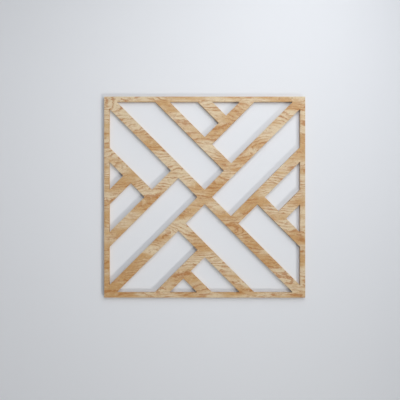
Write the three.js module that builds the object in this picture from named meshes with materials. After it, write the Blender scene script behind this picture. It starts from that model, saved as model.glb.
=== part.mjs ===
// Square fretwork grille, cut from one sheet of wood. A narrow border goes round it, two bars run
// along its diagonals and cross at the centre, and shorter bars run parallel to them. The bars of
// one side are those of the next side turned by a quarter turn, so the pattern is a pinwheel.
//
// Millimetres, +Z up. The back face lies in the plane y = 0 with the origin at its middle, and the
// front face looks along -Y.
import * as THREE from "three";

// Driving dimensions
const panelSide = 390; // width and height of the square
const sheetThickness = 6.35; // a quarter inch sheet
const borderWidth = 10; // of the border that goes round the panel
const barWidth = 20; // of every bar, square to its length
const longBarPitch = 72.5; // centre line of a diagonal to that of the long bar beside it
const shortBarPitch = 58.5; // centre line of a long bar to that of the short bar beyond it
const arrisWidth = 0.4; // eased edge between a cut wall and either face, in and along the wall
const faceCornerRadius = 0.4; // of the panel's own corners on its two faces, inside the arris
const openingCornerRadius = 0.5; // of each corner of an opening, at the cut wall
const cornerDivisions = 2; // pairs of facets round a corner

// The four sides of the square
const quarterTurns = 4;

// In the top quarter of the square, between the diagonals, u is the distance from the centre line
// of the diagonal that falls to the right, and v the distance from the one that rises to the right.
// These are the faces of the bars, as either distance.
const diagonalFace = barWidth / 2;
const longBarNear = longBarPitch - barWidth / 2;
const longBarFar = longBarPitch + barWidth / 2;
const shortBarNear = longBarPitch + shortBarPitch - barWidth / 2;
const shortBarFar = longBarPitch + shortBarPitch + barWidth / 2;

// u + v has this value along the inner edge of the border's top
const borderReach = Math.SQRT2 * (panelSide / 2 - borderWidth);

// The openings of the top quarter, each between two values of u and two of v
const quarterOpenings = [
  { name: "slot beside the falling diagonal", u: [diagonalFace, longBarNear], v: [diagonalFace, borderReach] },
  { name: "slot beside the rising diagonal", u: [longBarFar, borderReach], v: [diagonalFace, longBarNear] },
  { name: "short slot", u: [longBarFar, shortBarNear], v: [longBarFar, borderReach] },
  { name: "triangle at the border", u: [shortBarFar, borderReach], v: [longBarFar, borderReach] },
];

// What is left of a convex outline in u and v below the border's top.
function cutAtBorder(corners) {
  const kept = [];
  corners.forEach((corner, i) => {
    const next = corners[(i + 1) % corners.length];
    const room = borderReach - corner.x - corner.y;
    const nextRoom = borderReach - next.x - next.y;
    if (room >= 0) kept.push(corner);
    if (room * nextRoom < 0) kept.push(corner.clone().lerp(next, room / (room - nextRoom)));
  });
  return kept;
}

// The corners of an opening of the top quarter in x and z, anticlockwise.
function openingCorners({ u, v }) {
  const rectangle = [
    new THREE.Vector2(u[0], v[0]),
    new THREE.Vector2(u[1], v[0]),
    new THREE.Vector2(u[1], v[1]),
    new THREE.Vector2(u[0], v[1]),
  ];
  return cutAtBorder(rectangle).map((corner) => corner.rotateAround(new THREE.Vector2(), Math.PI / 4));
}

// A closed path through the corners of a convex, anticlockwise outline, with each corner rounded by
// an arc that touches both edges. An arc takes at most half of the shorter edge.
function roundedPath(corners, radius) {
  const path = new THREE.Path();
  corners.forEach((corner, i) => {
    const arriving = corner.clone().sub(corners[(i + corners.length - 1) % corners.length]);
    const leaving = corners[(i + 1) % corners.length].clone().sub(corner);
    const turn = arriving.angleTo(leaving);
    const longestSetback = Math.min(arriving.length(), leaving.length()) / 2;
    const setback = Math.min(radius * Math.tan(turn / 2), longestSetback);
    const arcRadius = setback / Math.tan(turn / 2);
    const along = arriving.normalize();
    const inward = new THREE.Vector2(-along.y, along.x);
    const centre = corner.clone().addScaledVector(along, -setback).addScaledVector(inward, arcRadius);
    const startAngle = Math.atan2(-inward.y, -inward.x);
    path.absarc(centre.x, centre.y, arcRadius, startAngle, startAngle + turn, false);
  });
  return path;
}

// The square outline of the whole panel, at its cut wall.
function panelOutline() {
  const reach = panelSide / 2;
  const corners = [
    new THREE.Vector2(-reach, -reach),
    new THREE.Vector2(reach, -reach),
    new THREE.Vector2(reach, reach),
    new THREE.Vector2(-reach, reach),
  ];
  return new THREE.Shape(roundedPath(corners, faceCornerRadius + arrisWidth).getPoints(cornerDivisions));
}

// The paths of all openings: those of the top quarter, turned clockwise to each side in turn.
function openingPaths() {
  const paths = [];
  for (let turn = 0; turn < quarterTurns; turn++) {
    const angle = (-turn * 2 * Math.PI) / quarterTurns;
    for (const opening of quarterOpenings) {
      const corners = openingCorners(opening);
      const turned = corners.map((corner) => corner.rotateAround(new THREE.Vector2(), angle));
      if (turned.length > 2) paths.push(roundedPath(turned, openingCornerRadius));
    }
  }
  return paths;
}

// The sheet, extruded through its thickness from the back face, with an arris along every edge.
function grilleGeometry() {
  const outline = panelOutline();
  outline.holes = openingPaths();
  const geometry = new THREE.ExtrudeGeometry(outline, {
    depth: sheetThickness - 2 * arrisWidth,
    bevelThickness: arrisWidth,
    bevelSize: arrisWidth,
    bevelOffset: -arrisWidth,
    bevelSegments: 1,
    curveSegments: cornerDivisions,
  });
  geometry.translate(0, 0, arrisWidth);
  return geometry;
}

// Pale oak, sanded and oiled to a low sheen
const paleOak = new THREE.MeshStandardMaterial({ color: 0xd0b083, roughness: 0.55, metalness: 0 });

const grille = new THREE.Mesh(grilleGeometry(), paleOak);
grille.name = "fretwork_grille";
grille.rotation.x = Math.PI / 2; // stands the sheet up: its outline in X and Z, its front along -Y

const part = new THREE.Group();
part.add(grille);

export default part;
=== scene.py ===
"""Openwork oak wall panel: the finished sheet, its pale wall, the light and the camera.

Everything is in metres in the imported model's own frame: +Z up, the panel's back face in the
plane y = 0 and its front towards -Y. Angles are in radians unless a name says otherwise.
"""
import logging
import math
from dataclasses import dataclass, field
from enum import Enum, IntEnum

import bpy
import numpy as np
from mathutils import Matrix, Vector
from mathutils.geometry import delaunay_2d_cdt


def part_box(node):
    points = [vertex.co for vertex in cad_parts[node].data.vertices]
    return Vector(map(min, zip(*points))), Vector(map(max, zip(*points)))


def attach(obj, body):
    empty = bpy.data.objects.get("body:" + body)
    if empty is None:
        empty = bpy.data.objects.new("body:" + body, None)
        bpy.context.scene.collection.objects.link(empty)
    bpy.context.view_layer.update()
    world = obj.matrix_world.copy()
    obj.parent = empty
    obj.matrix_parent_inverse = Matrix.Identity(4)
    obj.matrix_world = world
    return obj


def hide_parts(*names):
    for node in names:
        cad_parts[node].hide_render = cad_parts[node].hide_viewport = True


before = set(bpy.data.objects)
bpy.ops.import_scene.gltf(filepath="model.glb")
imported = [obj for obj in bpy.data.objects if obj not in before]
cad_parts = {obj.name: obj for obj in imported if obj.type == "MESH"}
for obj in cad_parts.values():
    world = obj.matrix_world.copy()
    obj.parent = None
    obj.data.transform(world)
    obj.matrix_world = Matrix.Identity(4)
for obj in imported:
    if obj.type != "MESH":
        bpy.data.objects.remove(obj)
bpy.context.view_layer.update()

log = logging.getLogger("fretwork")

MM = 0.001
GRILLE_NODE = "fretwork_grille"
PHOTO_SIDE = 400  # width and height of the photograph, in pixels
QUARTERS = 4  # sides of the square, each with the same openings turned
WOOD_IOR = 1.5
NOISE_LOW, NOISE_HIGH = 0.3, 0.7  # nearly all of Blender's noise lies between these
MIX_SHARE, MIX_UNDER, MIX_OVER = 0, 6, 7  # a Mix node's inputs, where it mixes colours
MIX_COLOUR = 2  # and its output
ALL_TRIANGLES = 0  # tells Blender's Delaunay fill to return everything out to the convex hull
FILL_TOLERANCE = 0.0001  # points closer than this are one point to it, in millimetres


class Surface(IntEnum):
    """Material slots of the sheet, in their order on the mesh."""

    VENEER = 0
    CUT_WALL = 1


class Facing(Enum):
    """Which side of an outline the wood lies on, as a factor on the outline's outward normal."""

    WOOD_INSIDE = -1
    WOOD_OUTSIDE = 1


def linear_colour(hex_code: str, alpha: float = 1.0) -> tuple[float, float, float, float]:
    """Turns an sRGB hex colour to linear light.

    Formula: c / 12.92 for dark values, otherwise ((c + 0.055) / 1.055) to the power 2.4.

    Args:
        hex_code: six hex digits, with or without a leading #.
        alpha: opacity to add.

    Returns:
        Red, green, blue and alpha.
    """
    code = hex_code.lstrip("#")
    srgb = np.array([int(code[i:i + 2], 16) for i in (0, 2, 4)]) / 255
    linear = np.where(srgb <= 0.04045, srgb / 12.92, ((srgb + 0.055) / 1.055) ** 2.4)
    return (*linear.tolist(), alpha)


def add_node(
    tree: bpy.types.NodeTree,
    kind: str,
    settings: dict | None = None,
    inputs: dict | None = None,
    stops: list[tuple[float, tuple]] | None = None,
) -> bpy.types.Node:
    """Adds a node with its settings and links.

    Args:
        tree: the node tree it goes in.
        kind: the node's type name.
        settings: values of its properties, by name.
        inputs: values or the output sockets that feed it, by input name or number.
        stops: positions and colours, for a colour ramp.

    Returns:
        The new node.
    """
    node = tree.nodes.new(kind)
    for name, value in (settings or {}).items():
        setattr(node, name, value)
    for name, value in (inputs or {}).items():
        if isinstance(value, bpy.types.NodeSocket):
            tree.links.new(value, node.inputs[name])
        else:
            node.inputs[name].default_value = value
    for i, (position, colour) in enumerate(stops or []):
        elements = node.color_ramp.elements
        element = elements[i] if i < len(elements) else elements.new(position)
        element.position = position
        element.color = colour
    return node


def new_material(name: str) -> tuple[bpy.types.Material, bpy.types.NodeTree, bpy.types.Node]:
    """Makes an empty node material.

    Args:
        name: the material's name.

    Returns:
        The material, its node tree and its output node.
    """
    material = bpy.data.materials.new(name)
    material.use_nodes = True
    material.node_tree.nodes.clear()
    output = add_node(material.node_tree, "ShaderNodeOutputMaterial")
    return material, material.node_tree, output


def new_object(name: str, vertices: np.ndarray, faces: list, materials: list) -> bpy.types.Object:
    """Makes a mesh object at the origin and puts it in the scene.

    Args:
        name: the object's name.
        vertices: places, one row each.
        faces: vertex numbers of each face.
        materials: its materials, in the order of their slots.

    Returns:
        The new object.
    """
    mesh = bpy.data.meshes.new(name)
    mesh.from_pydata(vertices.tolist(), [], faces)
    for material in materials:
        mesh.materials.append(material)
    mesh.validate()
    mesh.update()
    made = bpy.data.objects.new(name, mesh)
    bpy.context.scene.collection.objects.link(made)
    return made


def fill_between(rings: list[np.ndarray]) -> np.ndarray:
    """Fills a flat convex outline with triangles, round its convex holes.

    Formula: the Delaunay triangulation of all the points that keeps each ring's edges, less the
    triangles with all their corners on one hole. As the hole is convex, they lie inside it.

    Args:
        rings: places in X and Z along each outline, one row each, the outer one first.

    Returns:
        Vertex numbers of the triangles, counted along the rings, anticlockwise from the front.
    """
    points = np.concatenate(rings)
    owner = np.repeat(np.arange(len(rings)), [len(ring) for ring in rings])
    starts = np.flatnonzero(np.diff(owner)) + 1
    following = [np.roll(ring, -1) for ring in np.split(np.arange(len(points)), starts)]
    edges = np.stack([np.arange(len(points)), np.concatenate(following)], axis=1).tolist()
    in_mm = (points / MM).tolist()
    _, _, faces, sources, _, _ = delaunay_2d_cdt(in_mm, edges, [], ALL_TRIANGLES, FILL_TOLERANCE)
    triangles = np.array(sources)[:, 0][np.array(faces)]
    owners = owner[triangles]
    in_hole = (owners[:, 0] > 0) & (owners == owners[:, :1]).all(axis=1)
    triangles = triangles[~in_hole]
    first, second = points[triangles[:, 1:]].swapaxes(0, 1) - points[triangles[:, 0]]
    clockwise = first[:, 0] * second[:, 1] < first[:, 1] * second[:, 0]
    triangles[clockwise] = triangles[clockwise][:, ::-1]
    return triangles


@dataclass(frozen=True)
class Outline:
    """A closed outline in X and Z with rounded corners, anticlockwise seen from the front.

    Attributes:
        points: places along it, one row each.
        normals: unit vectors out of it at those places.
        facing: which side the wood lies on.
    """

    points: np.ndarray
    normals: np.ndarray
    facing: Facing

    @classmethod
    def rounded(cls, corners: np.ndarray, radius: float, steps: int, facing: Facing) -> "Outline":
        """Rounds every corner of a convex outline.

        Formula: an arc of the given radius touches both edges of a corner, so its centre lies
        radius * tan(turn / 2) back along the arriving edge and one radius inwards from it. Its
        points are the centre plus the radius times the unit vector at equal steps of the turn.

        Args:
            corners: the sharp corners, anticlockwise, one row each.
            radius: the arcs' radius.
            steps: straight pieces in each arc.
            facing: which side the wood lies on.

        Returns:
            The rounded outline.
        """
        arriving = corners - np.roll(corners, 1, axis=0)
        leaving = np.roll(arriving, -1, axis=0)
        heading = np.arctan2(arriving[:, 1], arriving[:, 0])
        turn = (np.arctan2(leaving[:, 1], leaving[:, 0]) - heading) % (2 * np.pi)
        along = np.stack([np.cos(heading), np.sin(heading)], axis=1)
        inward = np.stack([-along[:, 1], along[:, 0]], axis=1)
        setback = radius * np.tan(turn / 2)
        centres = corners - along * setback[:, None] + inward * radius
        angles = heading[:, None] - np.pi / 2 + turn[:, None] * np.linspace(0, 1, steps + 1)
        normals = np.stack([np.cos(angles), np.sin(angles)], axis=2)
        points = centres[:, None, :] + radius * normals
        return cls(points.reshape(-1, 2), normals.reshape(-1, 2), facing)

    def moved_into_wood(self, distance: float) -> np.ndarray:
        """Places along the outline moved into the wood by a distance, along the normals."""
        return self.points + self.normals * distance * self.facing.value


@dataclass(frozen=True)
class PinwheelPattern:
    """The panel's border and bars, and the openings that they leave.

    In the top quarter, between the diagonals, u is the distance from the centre line of the
    diagonal that falls to the right and v that from the one that rises, so that
    x = (u - v) / sqrt 2 and z = (u + v) / sqrt 2. Each quarter is the last one turned clockwise.

    Attributes:
        side: width and height of the square.
        border: width of the border round it.
        bar: width of every bar.
        long_pitch: centre line of a diagonal to that of the long bar beside it.
        short_pitch: centre line of a long bar to that of the short bar beyond it.
    """

    side: float
    border: float = 10 * MM
    bar: float = 20 * MM
    long_pitch: float = 72.5 * MM
    short_pitch: float = 58.5 * MM

    def panel_corners(self) -> np.ndarray:
        """The square's corners, anticlockwise from the bottom left."""
        return np.array([(-1, -1), (1, -1), (1, 1), (-1, 1)]) * self.side / 2

    def quarter_openings(self) -> list[np.ndarray]:
        """Corners of the top quarter's openings in u and v, anticlockwise.

        Formula: each is a rectangle in u and v, cut off where u + v reaches the border.

        Returns:
            One array of corners for each opening.
        """
        half = self.bar / 2
        near, far = self.long_pitch - half, self.long_pitch + half
        short_near, short_far = near + self.short_pitch, far + self.short_pitch
        reach = math.sqrt(2) * (self.side / 2 - self.border)
        cut = reach - short_near
        return [
            np.array([(half, half), (near, half), (near, reach - near), (half, reach - half)]),
            np.array([(far, half), (reach - half, half), (reach - near, near), (far, near)]),
            np.array([(far, far), (short_near, far), (short_near, cut), (far, reach - far)]),
            np.array([(short_far, far), (reach - far, far), (short_far, reach - short_far)]),
        ]

    def openings(self) -> list[np.ndarray]:
        """Corners of all the openings in x and z, anticlockwise.

        Formula: u and v turned by an eighth of a turn, then by a quarter turn clockwise for
        each side of the square in turn.

        Returns:
            One array of corners for each opening.
        """
        made = []
        for quarter in range(QUARTERS):
            angle = np.pi / 4 - quarter * 2 * np.pi / QUARTERS
            turn = np.array([(np.cos(angle), np.sin(angle)), (-np.sin(angle), np.cos(angle))])
            made += [corners @ turn for corners in self.quarter_openings()]
        return made


@dataclass
class FretworkSheet:
    """The panel: one sheet with its openings cut through, and every edge eased.

    Attributes:
        pattern: its border, bars and openings.
        thickness: of the sheet.
        arris: width of the eased edges, in and along the cut walls.
        panel_radius: of the panel's own corners, at the cut wall.
        opening_radius: of the openings' corners, at the cut wall.
        arris_steps: straight pieces across an eased edge.
        corner_steps: straight pieces round a corner.
        outlines: rounded outlines, the panel's own first, then every opening's.
        surfaces: which surface each face of the built mesh is.
    """

    pattern: PinwheelPattern
    thickness: float
    arris: float = 0.4 * MM
    panel_radius: float = 0.8 * MM
    opening_radius: float = 0.5 * MM
    arris_steps: int = 4
    corner_steps: int = 6
    outlines: list[Outline] = field(init=False)
    surfaces: np.ndarray = field(init=False)

    def __post_init__(self) -> None:
        """Works out the rounded outlines."""
        own = Outline.rounded(
            self.pattern.panel_corners(), self.panel_radius, self.corner_steps, Facing.WOOD_INSIDE
        )
        self.outlines = [own] + [
            Outline.rounded(corners, self.opening_radius, self.corner_steps, Facing.WOOD_OUTSIDE)
            for corners in self.pattern.openings()
        ]

    def edge_section(self) -> np.ndarray:
        """Section of a cut edge, from the front face to the back face.

        Formula: a quarter circle from the face to the wall, the straight wall, and a quarter
        circle to the other face. At angle a the circle lies arris * (1 - sin a) into the wood
        from the wall and arris * (1 - cos a) below the face.

        Returns:
            One row for each point: its distance into the wood, and its depth below the front.
        """
        angles = np.linspace(0, np.pi / 2, self.arris_steps + 1)
        front = self.arris * np.stack([1 - np.sin(angles), 1 - np.cos(angles)], axis=1)
        back = np.stack([front[::-1, 0], self.thickness - front[::-1, 1]], axis=1)
        return np.concatenate([front, back])

    def edge_strip(self, outline: Outline, first: int) -> tuple[np.ndarray, np.ndarray, np.ndarray]:
        """The cut edge along one outline: the section carried round it.

        Args:
            outline: the outline it follows.
            first: number of its first vertex in the whole mesh.

        Returns:
            Vertices by section point and place on the outline, quads, and each quad's surface.
        """
        section = self.edge_section()
        count = len(outline.points)
        rings = np.stack([outline.moved_into_wood(inset) for inset in section[:, 0]])
        depth = np.broadcast_to(section[:, 1, None] - self.thickness, rings.shape[:2])
        vertices = np.stack([rings[..., 0], depth, rings[..., 1]], axis=2)
        ring, place = np.meshgrid(np.arange(len(section) - 1), np.arange(count), indexing="ij")
        following = (place + 1) % count
        quads = np.stack(
            [
                ring * count + place,
                ring * count + following,
                (ring + 1) * count + following,
                (ring + 1) * count + place,
            ],
            axis=2,
        ).reshape(-1, 4) + first
        if outline.facing is Facing.WOOD_INSIDE:
            quads = quads[:, ::-1]
        surfaces = np.where(ring == self.arris_steps, Surface.CUT_WALL, Surface.VENEER).reshape(-1)
        return vertices, quads, surfaces

    def build(self) -> bpy.types.Object:
        """Builds the sheet as one closed mesh.

        Returns:
            The sheet's object, without materials.
        """
        vertices, faces, surfaces, smooth = [], [], [], []
        face_rings, front_numbers, back_numbers = [], [], []
        first = 0
        for outline in self.outlines:
            strip, quads, kinds = self.edge_strip(outline, first)
            count = len(outline.points)
            face_rings.append(outline.moved_into_wood(self.arris))
            front_numbers.append(first + np.arange(count))
            back_numbers.append(first + (len(strip) - 1) * count + np.arange(count))
            vertices.append(strip.reshape(-1, 3))
            faces += quads.tolist()
            surfaces += kinds.tolist()
            smooth += (kinds == Surface.VENEER).tolist()
            first += strip.shape[0] * count
        fill = fill_between(face_rings)
        front = np.concatenate(front_numbers)[fill]
        back = np.concatenate(back_numbers)[fill][:, ::-1]
        faces += front.tolist() + back.tolist()
        surfaces += [int(Surface.VENEER)] * (len(front) + len(back))
        smooth += [False] * (len(front) + len(back))
        made = new_object("oak_fretwork_sheet", np.concatenate(vertices), faces, [])
        self.surfaces = np.array(surfaces, dtype=np.int32)
        made.data.polygons.foreach_set("use_smooth", np.array(smooth))
        made.data.update()
        return made

    def dress(
        self, sheet: bpy.types.Object, veneer: bpy.types.Material, wall: bpy.types.Material
    ) -> None:
        """Gives the faces their veneer and the cut walls their plies.

        Args:
            sheet: the sheet's object.
            veneer: material of the faces and eased edges.
            wall: material of the cut walls.
        """
        sheet.data.materials.append(veneer)
        sheet.data.materials.append(wall)
        sheet.data.polygons.foreach_set("material_index", self.surfaces)
        sheet.data.update()


@dataclass(frozen=True)
class GrainLayer:
    """Smooth noise drawn out along the grain, which runs along X.

    Attributes:
        seed: number that tells its noise from the other layers'.
        length, width: size of its features along and across the grain, in millimetres.
        detail: octaves of finer noise on top.
        roughness: how strong they are.
    """

    seed: int
    length: float
    width: float
    detail: float = 2.0
    roughness: float = 0.5


# Grain layers and node outputs, each under its name
Layers = tuple[tuple[str, GrainLayer], ...]
Sockets = dict[str, bpy.types.NodeSocket]


@dataclass(frozen=True)
class PlainSlicedOak:
    """Oiled oak veneer, plain sliced: growth rings show as waves, arches and swirls.

    Lengths are in millimetres, and shares of a colour run from 0 to 1.

    Attributes:
        pale, mid: the wood between the rings, in its creamy and its warmer patches.
        ring: the darker wood that ends each growth ring.
        streak: short orange-brown streaks.
        pore: the open pores, short dark dashes along the grain.
        ring_spacing: mean distance between rings across the grain.
        wave_rings, curl_rings, feather_rings: how many rings each noise layer shifts them.
        follow: how far the fine grain bends with the rings, from 0 to 1.
        ring_share, streak_share, fleck_share, fibre_share, pore_share: strength of each mark.
        depth: size of every feature through the sheet.
        roughness, sheen_range: mean roughness of the face, and how much the fibres vary it.
        relief: depth of the pores and fibres in the face.
        seed_step: how far apart in its own space the noise of one seed lies from the next.
        figure: layers that bend the rings and shade them in patches.
        fine: layers of fine marks. The pores are wider than the real 0.2, so that they show.
        ramps: where each mask starts and where it is full. For a ring's late wood, and the early
            wood that follows it, this is a share of the ring, and otherwise a noise value.
    """

    pale: str = "#dac8a8"
    mid: str = "#c49d6a"
    ring: str = "#aa6b2c"
    streak: str = "#a15c24"
    pore: str = "#86603a"
    ring_spacing: float = 8.0
    wave_rings: float = 11.0
    curl_rings: float = 3.5
    feather_rings: float = 1.2
    follow: float = 0.6
    ring_share: float = 0.8
    streak_share: float = 0.6
    fleck_share: float = 0.6
    fibre_share: float = 0.45
    pore_share: float = 0.45
    depth: float = 4.0
    roughness: float = 0.52
    sheen_range: float = 0.12
    relief: float = 0.05
    seed_step: tuple[float, float, float] = (3.7, 5.3, 2.9)
    figure: Layers = (
        ("waves", GrainLayer(0, 150, 60, 1.0)),
        ("curls", GrainLayer(1, 60, 22, 1.0)),
        ("feather", GrainLayer(2, 11, 3.4)),
        ("patches", GrainLayer(3, 90, 24)),
        ("strength", GrainLayer(4, 60, 12)),
    )
    fine: Layers = (
        ("streaks", GrainLayer(5, 18, 2.9, 3.0, 0.7)),
        ("flecks", GrainLayer(6, 7, 2.9, 3.0, 0.7)),
        ("fibre", GrainLayer(7, 9, 2.1, 3.0, 0.65)),
        ("pores", GrainLayer(8, 5, 0.35, 1.0)),
    )
    ramps: tuple[tuple[str, float, float], ...] = (
        ("late", 0.44, 0.84),
        ("early", 0.98, 0.88),
        ("patches", 0.38, 0.62),
        ("strength", 0.35, 0.62),
        ("streaks", 0.54, 0.72),
        ("flecks", 0.52, 0.72),
        ("fibre", 0.45, 0.85),
        ("pores", 0.6, 0.7),
    )

    def grain_noises(
        self, tree: bpy.types.NodeTree, place: bpy.types.NodeSocket, layers: Layers
    ) -> Sockets:
        """Adds the noise of each grain layer.

        Formula: noise at the place over the layer's sizes, moved by a step for each seed.

        Args:
            tree: the node tree it goes in.
            place: where on the sheet, in metres.
            layers: the layers, by name.

        Returns:
            Each layer's noise, about 0.5, by name.
        """
        noises = {}
        for name, layer in layers:
            sizes = (layer.length, self.depth, layer.width)
            stretched = add_node(
                tree,
                "ShaderNodeMapping",
                inputs={
                    "Vector": place,
                    "Location": tuple(layer.seed * step for step in self.seed_step),
                    "Scale": tuple(1 / (size * MM) for size in sizes),
                },
            ).outputs["Vector"]
            noises[name] = add_node(
                tree,
                "ShaderNodeTexNoise",
                inputs={
                    "Vector": stretched,
                    "Scale": 1.0,
                    "Detail": layer.detail,
                    "Roughness": layer.roughness,
                },
            ).outputs["Fac"]
        return noises

    def bent_rings(
        self, tree: bpy.types.NodeTree, place: bpy.types.NodeSocket, figure: Sockets
    ) -> tuple[bpy.types.NodeSocket, bpy.types.NodeSocket]:
        """Adds the growth rings, bent by the noises of the figure.

        Formula: the bend is the sum of the wave, curl and feather noises, in rings. The ring
        count is z over the ring spacing plus the bend, and its fraction runs from 0 to 1 across
        each ring. The fine marks are read at a height that is raised by a part of the bend.

        Args:
            tree: the node tree they go in.
            place: where on the sheet, in metres.
            figure: noise of each layer of the figure, by name.

        Returns:
            How far through its ring each place lies, and the place at which fine marks are read.
        """
        axes = add_node(tree, "ShaderNodeSeparateXYZ", inputs={"Vector": place}).outputs
        bend = 0.0
        for name, rings in (
            ("waves", self.wave_rings),
            ("curls", self.curl_rings),
            ("feather", self.feather_rings),
        ):
            bend = add_node(
                tree,
                "ShaderNodeMath",
                {"operation": "MULTIPLY_ADD"},
                {0: figure[name], 1: rings, 2: bend},
            ).outputs[0]
        count = add_node(
            tree,
            "ShaderNodeMath",
            {"operation": "MULTIPLY_ADD"},
            {0: axes["Z"], 1: 1 / (self.ring_spacing * MM), 2: bend},
        ).outputs[0]
        phase = add_node(tree, "ShaderNodeMath", {"operation": "FRACT"}, {0: count}).outputs[0]
        height = add_node(
            tree,
            "ShaderNodeMath",
            {"operation": "MULTIPLY_ADD"},
            {0: bend, 1: self.follow * self.ring_spacing * MM, 2: axes["Z"]},
        ).outputs[0]
        bent = add_node(
            tree, "ShaderNodeCombineXYZ", inputs={"X": axes["X"], "Y": axes["Y"], "Z": height}
        ).outputs["Vector"]
        return phase, bent

    def masks(self, tree: bpy.types.NodeTree, reads: Sockets) -> Sockets:
        """Adds a mask from 0 to 1 for each mark.

        Formula: a smooth step between the ends of the mark's ramp. A ring's dark wood is the
        product of its late, early and strength masks, so it darkens towards 0.85 of the ring and
        is pale again at its end.

        Args:
            tree: the node tree they go in.
            reads: what each ramp reads, by name.

        Returns:
            The masks, by name, with the dark wood's as ring.
        """
        made = {}
        for name, start, full in self.ramps:
            made[name] = add_node(
                tree,
                "ShaderNodeMapRange",
                {"interpolation_type": "SMOOTHSTEP"},
                {"Value": reads[name], "From Min": start, "From Max": full},
            ).outputs["Result"]
        ring = made["late"]
        for name in ("early", "strength"):
            ring = add_node(
                tree, "ShaderNodeMath", {"operation": "MULTIPLY"}, {0: ring, 1: made[name]}
            ).outputs[0]
        made["ring"] = ring
        return made

    def colour(self, tree: bpy.types.NodeTree, masks: Sockets) -> bpy.types.NodeSocket:
        """Adds the wood's colour, with each mark laid over those before it.

        Formula: each mark mixes its own colour in by its mask times its share.

        Args:
            tree: the node tree it goes in.
            masks: each mark's mask, by name.

        Returns:
            The colour.
        """
        colour = linear_colour(self.pale)
        for name, share, tint in (
            ("patches", 1.0, self.mid),
            ("ring", self.ring_share, self.ring),
            ("streaks", self.streak_share, self.streak),
            ("flecks", self.fleck_share, self.pale),
            ("fibre", self.fibre_share, self.ring),
            ("pores", self.pore_share, self.pore),
        ):
            part = add_node(
                tree, "ShaderNodeMath", {"operation": "MULTIPLY"}, {0: masks[name], 1: share}
            ).outputs[0]
            colour = add_node(
                tree,
                "ShaderNodeMix",
                {"data_type": "RGBA"},
                {MIX_SHARE: part, MIX_UNDER: colour, MIX_OVER: linear_colour(tint)},
            ).outputs[MIX_COLOUR]
        return colour

    def material(self) -> bpy.types.Material:
        """Builds the veneer's material.

        Formula: the pores lower the face and the fibre noise raises it, and the same noise varies
        the roughness about its mean.

        Returns:
            The material.
        """
        # Oak veneer, plain sliced, sanded and oiled: warm wavy rings between creamy wood, short
        # flecks and streaks along them, a satin face and pores that catch a little shade
        material, tree, output = new_material("plain_sliced_oak_veneer")
        place = add_node(tree, "ShaderNodeTexCoord").outputs["Object"]
        figure = self.grain_noises(tree, place, self.figure)
        phase, bent = self.bent_rings(tree, place, figure)
        fine = self.grain_noises(tree, bent, self.fine)
        masks = self.masks(tree, {"late": phase, "early": phase, **figure, **fine})
        grain = add_node(
            tree, "ShaderNodeMath", {"operation": "SUBTRACT"}, {0: fine["fibre"], 1: masks["pores"]}
        ).outputs[0]
        bump = add_node(
            tree, "ShaderNodeBump", inputs={"Distance": self.relief * MM, "Height": grain}
        ).outputs["Normal"]
        sheen = add_node(
            tree,
            "ShaderNodeMath",
            {"operation": "MULTIPLY_ADD"},
            {0: fine["fibre"], 1: self.sheen_range, 2: self.roughness - self.sheen_range / 2},
        ).outputs[0]
        shader = add_node(
            tree,
            "ShaderNodeBsdfPrincipled",
            inputs={
                "Base Color": self.colour(tree, masks),
                "Roughness": sheen,
                "IOR": WOOD_IOR,
                "Normal": bump,
            },
        ).outputs["BSDF"]
        tree.links.new(shader, output.inputs["Surface"])
        return material


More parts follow.
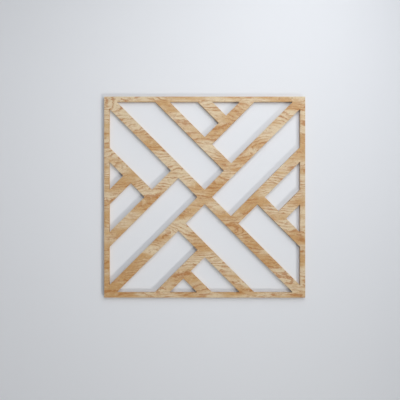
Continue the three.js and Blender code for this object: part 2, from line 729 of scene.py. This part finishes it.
@dataclass(frozen=True)
class SawnPlies:
    """The cut edge of the sheet: thin face veneers over core plies, glued crosswise.

    The plies' grain runs by turns along and across that of the faces. All lengths are in
    millimetres.

    Attributes:
        along: wood cut along its grain, smooth and pale.
        across: wood cut across its grain, darker because its ends soak up oil.
        glue: the thin dark lines between plies.
        veneer: thickness of each face veneer.
        core_plies: how many thicker plies lie between the veneers.
        glue_line: width of a glue line, drawn wider than the real 0.05 so that it shows.
        fibre_length, fibre_width: size of the short fibres that the saw leaves.
        fibre_detail: octaves of finer noise on them.
        fibre_dark, fibre_light: factors on the colour, on the darkest and palest fibres.
        relief: how deep the fibres are.
        roughness: of the sanded edge.
    """

    along: str = "#d3b083"
    across: str = "#b78d5c"
    glue: str = "#7d5a36"
    veneer: float = 0.6
    core_plies: int = 3
    glue_line: float = 0.12
    fibre_length: float = 6.0
    fibre_width: float = 0.25
    fibre_detail: float = 3.0
    fibre_dark: float = 0.82
    fibre_light: float = 1.08
    relief: float = 0.05
    roughness: float = 0.65

    def bands(self, thickness: float) -> list[tuple[float, tuple]]:
        """Works out the bands of colour through the sheet.

        Formula: the core plies share what the two veneers leave equally. At each joint the glue
        begins half its width before it, and the next ply half its width after it.

        Args:
            thickness: of the whole sheet, in metres.

        Returns:
            Where each band begins, from 0 at the front face to 1 at the back, and its colour.
        """
        skin = self.veneer * MM / thickness
        line = self.glue_line * MM / thickness
        stops = [(0.0, linear_colour(self.along))]
        for i, joint in enumerate(np.linspace(skin, 1 - skin, self.core_plies + 1).tolist()):
            ply = self.along if i % 2 else self.across
            stops.append((joint - line / 2, linear_colour(self.glue)))
            stops.append((joint + line / 2, linear_colour(ply)))
        return stops

    def material(self, thickness: float) -> bpy.types.Material:
        """Builds the cut walls' material.

        Formula: the depth below the front face, as a share of the thickness, picks the band, and
        the fibres' noise shades it and roughens the wall.

        Args:
            thickness: of the whole sheet, in metres.

        Returns:
            The material.
        """
        # Plywood edge, sawn and sanded: matt, in paler and darker bands with thin dark glue
        # lines between them, and short fibres along each
        material, tree, output = new_material("sawn_oak_plies")
        place = add_node(tree, "ShaderNodeTexCoord").outputs["Object"]
        depth = add_node(tree, "ShaderNodeSeparateXYZ", inputs={"Vector": place}).outputs["Y"]
        share = add_node(
            tree,
            "ShaderNodeMapRange",
            inputs={"Value": depth, "From Min": -thickness, "From Max": 0.0},
        ).outputs["Result"]
        banded = add_node(
            tree, "ShaderNodeValToRGB", inputs={"Fac": share}, stops=self.bands(thickness)
        )
        banded.color_ramp.interpolation = "CONSTANT"
        lengthwise, through = 1 / (self.fibre_length * MM), 1 / (self.fibre_width * MM)
        stretched = add_node(
            tree,
            "ShaderNodeMapping",
            inputs={"Vector": place, "Scale": (lengthwise, through, lengthwise)},
        ).outputs["Vector"]
        fibres = add_node(
            tree,
            "ShaderNodeTexNoise",
            inputs={"Vector": stretched, "Scale": 1.0, "Detail": self.fibre_detail},
        ).outputs["Fac"]
        shade = add_node(
            tree,
            "ShaderNodeMapRange",
            inputs={
                "Value": fibres,
                "From Min": NOISE_LOW,
                "From Max": NOISE_HIGH,
                "To Min": self.fibre_dark,
                "To Max": self.fibre_light,
            },
        ).outputs["Result"]
        colour = add_node(
            tree,
            "ShaderNodeMix",
            {"data_type": "RGBA", "blend_type": "MULTIPLY"},
            {MIX_SHARE: 1.0, MIX_UNDER: banded.outputs["Color"], MIX_OVER: shade},
        ).outputs[MIX_COLOUR]
        bump = add_node(
            tree, "ShaderNodeBump", inputs={"Distance": self.relief * MM, "Height": fibres}
        ).outputs["Normal"]
        shader = add_node(
            tree,
            "ShaderNodeBsdfPrincipled",
            inputs={
                "Base Color": colour,
                "Roughness": self.roughness,
                "IOR": WOOD_IOR,
                "Normal": bump,
            },
        ).outputs["BSDF"]
        tree.links.new(shader, output.inputs["Surface"])
        return material


@dataclass(frozen=True)
class MattPaint:
    """Flat paint of the stage: pale, faintly blue, with no shine, and a painted glow far out.

    Attributes:
        name: the material's name.
        colour: of the paint.
        one_sided: whether it is left clear for a camera behind it.
        roughness, specular: of its surface.
        glow: how much brighter it looks to the camera far out, without lighting anything.
        glow_start, glow_full: distances from the panel's middle between which that sets in, in
            metres. The photograph's corners lie nearer than the first.
    """

    name: str
    colour: str = "#e2e5ea"
    one_sided: bool = False
    roughness: float = 0.9
    specular: float = 0.2
    glow: float = 0.55
    glow_start: float = 0.6
    glow_full: float = 2.0

    def material(self) -> bpy.types.Material:
        """Builds the paint's material.

        Formula: the glow rises smoothly from none at its start to all at its full distance.

        Returns:
            The material.
        """
        # Emulsion paint, rolled on a smooth wall: even, pale and without shine, so that every
        # soft shadow on it can be read
        material, tree, output = new_material(self.name)
        seen = add_node(tree, "ShaderNodeLightPath").outputs["Is Camera Ray"]
        place = add_node(tree, "ShaderNodeTexCoord").outputs["Object"]
        distance = add_node(
            tree, "ShaderNodeVectorMath", {"operation": "LENGTH"}, {0: place}
        ).outputs["Value"]
        far_out = add_node(
            tree,
            "ShaderNodeMapRange",
            {"interpolation_type": "SMOOTHSTEP"},
            {
                "Value": distance,
                "From Min": self.glow_start,
                "From Max": self.glow_full,
                "To Max": self.glow,
            },
        ).outputs["Result"]
        # Painted light: far from the panel the paint glows for the camera alone, brighter than the
        # lamps make it, and lights nothing
        glow = add_node(
            tree, "ShaderNodeMath", {"operation": "MULTIPLY"}, {0: seen, 1: far_out}
        ).outputs[0]
        paint = add_node(
            tree,
            "ShaderNodeBsdfPrincipled",
            inputs={
                "Base Color": linear_colour(self.colour),
                "Roughness": self.roughness,
                "Specular IOR Level": self.specular,
                "Emission Color": linear_colour(self.colour),
                "Emission Strength": glow,
            },
        ).outputs["BSDF"]
        if self.one_sided:
            clear = add_node(tree, "ShaderNodeBsdfTransparent").outputs["BSDF"]
            behind = add_node(tree, "ShaderNodeNewGeometry").outputs["Backfacing"]
            share = add_node(
                tree, "ShaderNodeMath", {"operation": "MULTIPLY"}, {0: behind, 1: seen}
            ).outputs[0]
            paint = add_node(
                tree, "ShaderNodeMixShader", inputs={0: share, 1: paint, 2: clear}
            ).outputs[0]
        tree.links.new(paint, output.inputs["Surface"])
        return material


@dataclass
class Backdrop:
    """The plain wall that the panel lies on, and the floor below.

    Attributes:
        sheet: the panel, whose back face the wall leaves free.
        half_width, top, floor: reach of the wall to each side, up and down to the floor.
        floor_reach: how far the floor runs from the wall, to the front and back.
    """

    sheet: FretworkSheet
    half_width: float = 4.0
    top: float = 3.0
    floor: float = -2.4
    floor_reach: float = 12.0

    def build_wall(self) -> bpy.types.Object:
        """Builds the wall in the plane of the panel's back face, cut out where wood touches it.

        Returns:
            The wall's object.
        """
        rings = [outline.moved_into_wood(self.sheet.arris) for outline in self.sheet.outlines]
        corners = np.array(
            [
                (-self.half_width, self.floor),
                (self.half_width, self.floor),
                (self.half_width, self.top),
                (-self.half_width, self.top),
            ]
        )
        places = np.concatenate([corners, *rings])
        faces = fill_between([corners, rings[0]]).tolist()
        start = len(corners) + len(rings[0])
        for ring in rings[1:]:
            faces.append(list(range(start, start + len(ring))))
            start += len(ring)
        vertices = np.stack([places[:, 0], np.zeros(len(places)), places[:, 1]], axis=1)
        paint = MattPaint("wall_paint", one_sided=True).material()
        return new_object("stage_wall", vertices, faces, [paint])

    def build_floor(self) -> bpy.types.Object:
        """Builds the floor as one flat square.

        Returns:
            The floor's object.
        """
        corners = np.array([(-1, -1, 0), (1, -1, 0), (1, 1, 0), (-1, 1, 0)]) * self.floor_reach
        vertices = corners + np.array([0, 0, self.floor])
        paint = MattPaint("floor_paint").material()
        return new_object("stage_floor", vertices, [[0, 1, 2, 3]], [paint])

    def build(self) -> None:
        """Builds both and logs their names."""
        wall, floor = self.build_wall(), self.build_floor()
        log.info("stage: %s and %s", wall.name, floor.name)


@dataclass(frozen=True)
class SoftLight:
    """A square studio light, or a soft-edged spot where a cone is given.

    Attributes:
        name: the light's name.
        place: its centre.
        target: the point that it faces.
        size: length of its sides, or diameter of a spot's source.
        power: in watts.
        cone: full angle of a spot's beam, in degrees.
        colour: of its light.
    """

    name: str
    place: tuple[float, float, float]
    target: tuple[float, float, float]
    size: float
    power: float
    cone: float | None = None
    colour: str = "#ffffff"

    def build(self) -> None:
        """Puts the light in the scene, unseen by the camera."""
        if self.cone is None:
            light = bpy.data.lights.new(self.name, "AREA")
            light.shape = "SQUARE"
            light.size = self.size
        else:
            light = bpy.data.lights.new(self.name, "SPOT")
            light.spot_size = math.radians(self.cone)
            light.spot_blend = 1.0
            light.shadow_soft_size = self.size / 2
        light.energy = self.power
        light.color = linear_colour(self.colour)[:3]
        lamp = bpy.data.objects.new(self.name, light)
        lamp.location = self.place
        facing = Vector(self.target) - Vector(self.place)
        lamp.rotation_euler = facing.to_track_quat("-Z", "Y").to_euler()
        lamp.visible_camera = False
        bpy.context.scene.collection.objects.link(lamp)
        log.info("light: %s, %.1f W", self.name, self.power)


@dataclass(frozen=True)
class Studio:
    """The room's light.

    A steep soft key comes from the upper right and a harder fill from the lower right. A wash from
    the lower left and a soft spot towards the left even out the wall, and a rear light falls on
    the panel's back where the wall is cut out.

    Attributes:
        air: colour of the light from all round.
        air_strength: how strong it is on surfaces.
        air_seen: how bright the empty distance looks to the camera.
    """

    air: str = "#f0f5fc"
    air_strength: float = 0.168
    air_seen: float = 0.75

    def lights(self) -> list[SoftLight]:
        """The studio's lights, each by its name, place, target, size, power, cone and colour.

        Returns:
            The key, the fill, the wash, the left spot and the rear light.
        """
        return [
            SoftLight("key", (0.24, -0.75, 0.40), (-0.5, 0.0, -1.2), 1.0, 7.8),
            SoftLight("fill", (2.3, -2.02, -2.3), (-1.0, 0.0, 0.1), 0.3, 289.0, 40.0, "#fffaf2"),
            SoftLight("wash", (-1.8, -2.4, -0.6), (-0.4, 0.0, -0.4), 2.0, 5.3),
            SoftLight("left", (1.2, -1.5, 0.1), (-1.1, 0.0, 0.0), 0.8, 13.8, 44.0),
            SoftLight("rear", (-1.2, 1.8, 0.9), (0.0, 0.0, 0.0), 1.5, 80.0),
        ]

    def build(self) -> None:
        """Puts the lights and the air in the scene."""
        for light in self.lights():
            light.build()
        world = bpy.data.worlds.new("studio_air")
        world.use_nodes = True
        tree = world.node_tree
        tree.nodes.clear()
        seen = add_node(tree, "ShaderNodeLightPath").outputs["Is Camera Ray"]
        strength = add_node(
            tree,
            "ShaderNodeMapRange",
            inputs={"Value": seen, "To Min": self.air_strength, "To Max": self.air_seen},
        ).outputs["Result"]
        air = add_node(
            tree,
            "ShaderNodeBackground",
            inputs={"Color": linear_colour(self.air), "Strength": strength},
        ).outputs["Background"]
        add_node(tree, "ShaderNodeOutputWorld", inputs={"Surface": air})
        bpy.context.scene.world = world


@dataclass(frozen=True)
class PhotoCamera:
    """A camera that looks straight at the wall, as the photograph does.

    Attributes:
        lens, sensor: in millimetres.
        panel_pixels: width of the panel in the photograph.
        centre_pixel: the panel's centre there, from the top left corner.
    """

    lens: float = 40.0
    sensor: float = 36.0
    panel_pixels: float = 201.1
    centre_pixel: tuple[float, float] = (204.67, 197.1)

    def build(self, sheet: FretworkSheet) -> None:
        """Makes the camera and puts it where the panel fills the photograph's pixels.

        Formula: one pixel is side / panel_pixels at the front face, and the distance is the
        photograph's width there times lens / sensor.

        Args:
            sheet: the panel.
        """
        pixel = sheet.pattern.side / self.panel_pixels
        distance = PHOTO_SIDE * pixel * self.lens / self.sensor
        middle = PHOTO_SIDE / 2
        data = bpy.data.cameras.new("camera")
        data.lens = self.lens
        data.sensor_width = self.sensor
        camera = bpy.data.objects.new("camera", data)
        right = (middle - self.centre_pixel[0]) * pixel
        up = (self.centre_pixel[1] - middle) * pixel
        camera.location = (right, -sheet.thickness - distance, up)
        camera.rotation_euler = (math.pi / 2, 0, 0)
        bpy.context.scene.collection.objects.link(camera)
        bpy.context.scene.camera = camera
        log.info("camera: %.3f m from the panel", distance)


def main() -> None:
    """Builds the panel, its wall, the light and the camera, and reports each."""
    logging.basicConfig(level=logging.INFO, format="%(message)s")
    bpy.context.scene.view_settings.view_transform = "Standard"
    low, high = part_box(GRILLE_NODE)
    sheet = FretworkSheet(PinwheelPattern(side=high[0] - low[0]), thickness=high[1] - low[1])
    PhotoCamera().build(sheet)

    panel = sheet.build()
    sheet.dress(panel, PlainSlicedOak().material(), SawnPlies().material(sheet.thickness))
    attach(panel, "root")
    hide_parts(GRILLE_NODE)
    log.info("piece: %s, %d faces", panel.name, len(panel.data.polygons))

    Backdrop(sheet).build()
    Studio().build()


if __name__ == "__main__":
    main()
